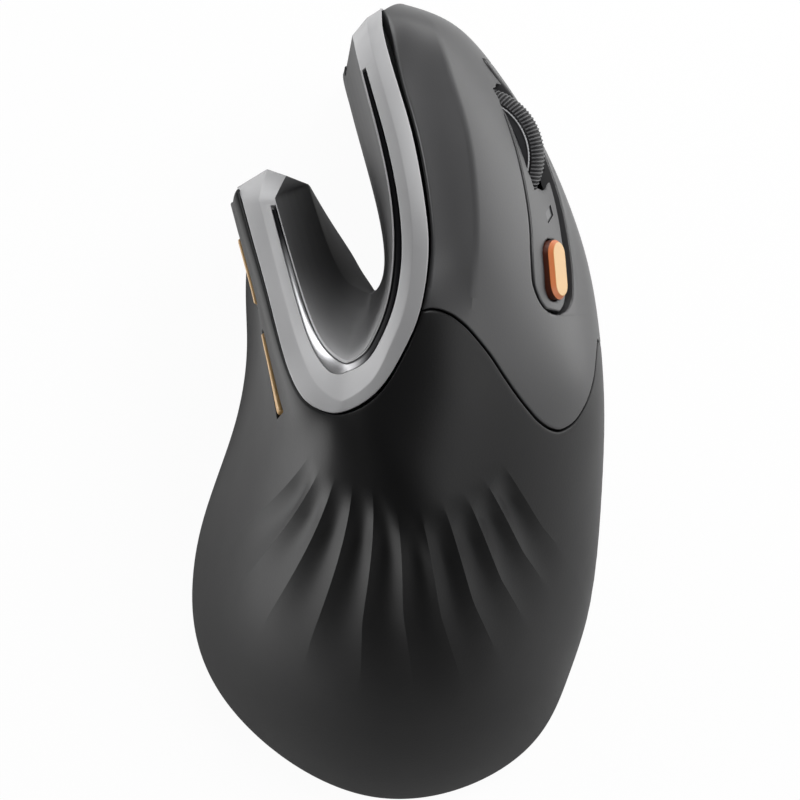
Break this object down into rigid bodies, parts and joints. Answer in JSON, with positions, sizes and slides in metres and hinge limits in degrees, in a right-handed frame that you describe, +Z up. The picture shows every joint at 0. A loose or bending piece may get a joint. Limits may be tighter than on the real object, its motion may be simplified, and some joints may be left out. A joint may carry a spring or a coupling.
{
  "type": "vertical ergonomic mouse",
  "caption": "Right-handed upright wireless mouse with a deep V fork between thumb and finger prongs, split keys, scroll wheel, side buttons and a pleated palm.",
  "frame": {"origin": "centre of the footprint's bounding box on the desk plane under the glide feet", "axes": "+Y towards the prongs' tips (the cursor's up), +X towards the finger side, +Z up off the desk"},
  "size_m": [0.065, 0.1232, 0.0658],
  "materials": {
    "soft_shell": "soft-touch matt",
    "finger_panel": "satin",
    "trim_grey": "satin metallic paint",
    "gloss_accent": "gloss",
    "base_black": "matt",
    "foot_white": "low friction",
    "inner_black": "matt",
    "steel": "bright",
    "clear_lens": "clear",
    "smoked_lens": "smoked",
    "chip": "matt",
    "board": "solder mask",
    "ribbon": "film",
    "cell": "film",
    "switch_black": "matt",
    "plunger_white": "matt",
    "wheel_rubber": "matt",
    "hub_plastic": "satin",
    "rim_chrome": "polished",
    "encoder_blue": "matt",
    "orange": "satin gloss"
  },
  "bodies": {
    "housing": {"main_shell": "soft_shell", "finger_plate": "finger_panel", "centre_strip": "finger_panel", "indicator_lens": "smoked_lens", "fork_trim": "trim_grey", "accent_strip": "gloss_accent", "thumb_nose": "trim_grey", "finger_nose": "trim_grey", "base_plate": "base_black", "glide_feet": "foot_white", "screw_posts": "inner_black", "assembly_screws": "steel", "sensor_lens": "clear_lens", "optical_sensor": "chip", "main_pcb": "board", "finger_pcb": "board", "finger_pcb_stand": "inner_black", "thumb_pcb": "board", "thumb_pcb_stand": "inner_black", "link_ribbons": "ribbon", "battery": "cell", "battery_frame": "inner_black", "left_switch": "switch_black", "right_switch": "switch_black", "middle_switch": "switch_black", "dpi_switch": "switch_black", "forward_switch": "switch_black", "back_switch": "switch_black", "wheel_bracket": "inner_black", "cradle_pin": "steel", "usb_c_port": "steel", "usb_pcb": "board", "power_switch": "switch_black", "pairing_switch": "switch_black", "receiver_bay": "base_black", "nano_receiver": "chip"},
    "left_key": {"left_key": "finger_panel"},
    "right_key": {"right_key": "finger_panel"},
    "left_plunger": {"left_plunger": "plunger_white"},
    "right_plunger": {"right_plunger": "plunger_white"},
    "cradle": {"wheel_cradle": "inner_black", "encoder": "encoder_blue"},
    "wheel": {"wheel_hub": "hub_plastic", "wheel_tyre": "wheel_rubber", "wheel_rims": "rim_chrome", "wheel_axle": "steel"},
    "middle_plunger": {"middle_plunger": "plunger_white"},
    "dpi_button": {"dpi_button": "orange"},
    "dpi_plunger": {"dpi_plunger": "plunger_white"},
    "forward_button": {"forward_button": "orange"},
    "forward_plunger": {"forward_plunger": "plunger_white"},
    "back_button": {"back_button": "orange"},
    "back_plunger": {"back_plunger": "plunger_white"},
    "power_knob": {"power_knob": "plunger_white"},
    "pairing_button": {"pairing_button": "plunger_white"}
  },
  "joints": [
    {"name": "left_key_press", "type": "hinge", "parent": "housing", "child": "left_key", "pos_m": [0.0141, 0.01659, 0.0554], "axis": [-0.7286, 0.1319, 0.6721], "range_deg": [0, 0.7], "stiffness_Nm_per_rad": 1.2},
    {"name": "right_key_press", "type": "hinge", "parent": "housing", "child": "right_key", "pos_m": [0.02791, 0.01515, 0.03463], "axis": [-0.2926, -0.0445, 0.9552], "range_deg": [0, 0.7], "stiffness_Nm_per_rad": 1},
    {"name": "left_plunger_slide", "type": "slide", "parent": "housing", "child": "left_plunger", "axis": [-0.865, -0.3672, -0.342], "range_m": [0, 0.00065]},
    {"name": "right_plunger_slide", "type": "slide", "parent": "housing", "child": "right_plunger", "axis": [-0.865, -0.3672, -0.342], "range_m": [0, 0.00065]},
    {"name": "wheel_press", "type": "hinge", "parent": "housing", "child": "cradle", "pos_m": [0.00765, 0.05124, 0.04176], "axis": [0.3148, 0.1336, -0.9397], "range_deg": [0, 1.2], "stiffness_Nm_per_rad": 0.65},
    {"name": "wheel_spin", "type": "hinge", "parent": "cradle", "child": "wheel", "pos_m": [0.01255, 0.03898, 0.04166], "axis": [0.3148, 0.1336, -0.9397], "continuous": true},
    {"name": "middle_plunger_slide", "type": "slide", "parent": "housing", "child": "middle_plunger", "axis": [-0.865, -0.3672, -0.342], "range_m": [0, 0.00065]},
    {"name": "dpi_press", "type": "slide", "parent": "housing", "child": "dpi_button", "axis": [-0.8627, -0.0755, -0.5], "range_m": [0, 0.0005], "stiffness_N_per_m": 600},
    {"name": "dpi_plunger_slide", "type": "slide", "parent": "housing", "child": "dpi_plunger", "axis": [-0.865, -0.3672, -0.342], "range_m": [0, 0.0005]},
    {"name": "forward_press", "type": "slide", "parent": "housing", "child": "forward_button", "axis": [0.9758, 0.2074, -0.0698], "range_m": [0, 0.0006], "stiffness_N_per_m": 800},
    {"name": "forward_plunger_slide", "type": "slide", "parent": "housing", "child": "forward_plunger", "axis": [0.9758, 0.2074, -0.0698], "range_m": [0, 0.0006]},
    {"name": "back_press", "type": "slide", "parent": "housing", "child": "back_button", "axis": [0.9758, 0.2074, -0.0698], "range_m": [0, 0.0006], "stiffness_N_per_m": 800},
    {"name": "back_plunger_slide", "type": "slide", "parent": "housing", "child": "back_plunger", "axis": [0.9758, 0.2074, -0.0698], "range_m": [0, 0.0006]},
    {"name": "power_slide", "type": "slide", "parent": "housing", "child": "power_knob", "axis": [0, 1, 0], "range_m": [-0.0014, 0.0014]},
    {"name": "pairing_press", "type": "slide", "parent": "housing", "child": "pairing_button", "axis": [0, 0, 1], "range_m": [0, 0.0004], "stiffness_N_per_m": 600}
  ],
  "couplings": [
    {"joint": "left_plunger_slide", "follows": "left_key_press", "m_per_rad": 0.02785},
    {"joint": "right_plunger_slide", "follows": "right_key_press", "m_per_rad": 0.02645},
    {"joint": "middle_plunger_slide", "follows": "wheel_press", "m_per_rad": 0.0284},
    {"joint": "dpi_plunger_slide", "follows": "dpi_press", "ratio": 0.94},
    {"joint": "forward_plunger_slide", "follows": "forward_press", "ratio": 1},
    {"joint": "back_plunger_slide", "follows": "back_press", "ratio": 1}
  ]
}
